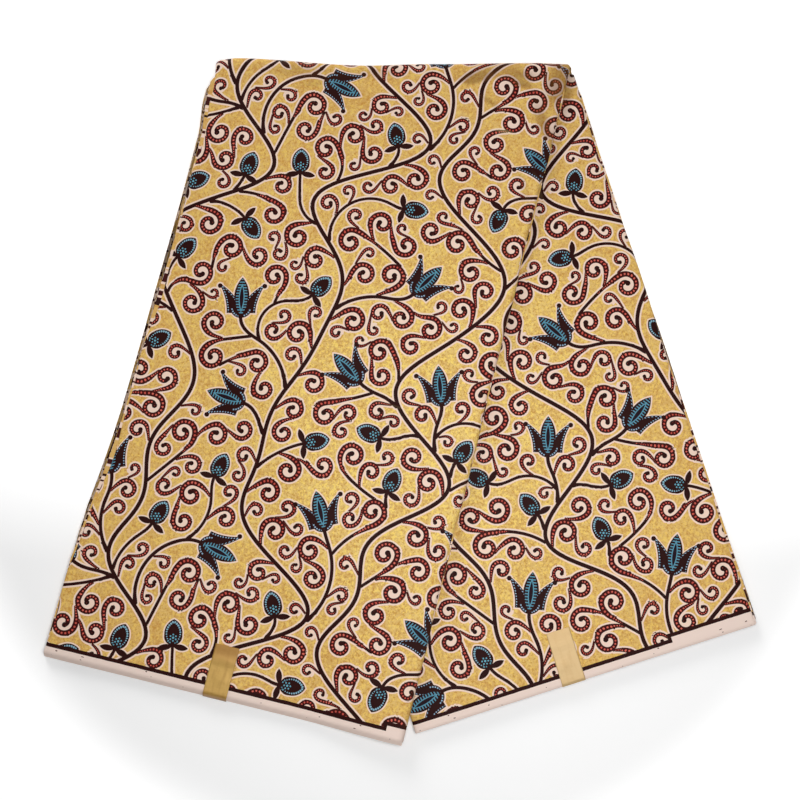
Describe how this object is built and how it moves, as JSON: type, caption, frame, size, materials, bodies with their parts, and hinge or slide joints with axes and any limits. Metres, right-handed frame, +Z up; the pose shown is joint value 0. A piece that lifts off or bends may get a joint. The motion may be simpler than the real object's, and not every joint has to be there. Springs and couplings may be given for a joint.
{
  "type": "african wax print fabric, a folded length",
  "caption": "Folded length of wax print cotton, pleated into a strip and laid over itself in a V with its selvedge hems showing.",
  "frame": {"origin": "centre of the bounding box's underside, on the surface that the folded cloth lies on", "axes": "+Z up from the surface, +Y towards the top fold, -Y towards the two hems, +X to the right of someone who looks down at it with the fold at the top"},
  "size_m": [0.6214, 0.6108, 0.0163],
  "materials": {
    "printed_cotton": "plain-weave cotton with a soft calendered sheen, printed with a dark scroll vine on gold",
    "foil_deep": "bare metallised gold foil on paper, satin",
    "foil_pale": "bare pale gold foil on paper, matte"
  },
  "bodies": {
    "root": {"front_face": "printed_cotton", "front_layers": "printed_cotton", "back_face": "printed_cotton", "back_layers": "printed_cotton", "label_left": "foil_deep", "label_right": "foil_pale"}
  },
  "joints": []
}
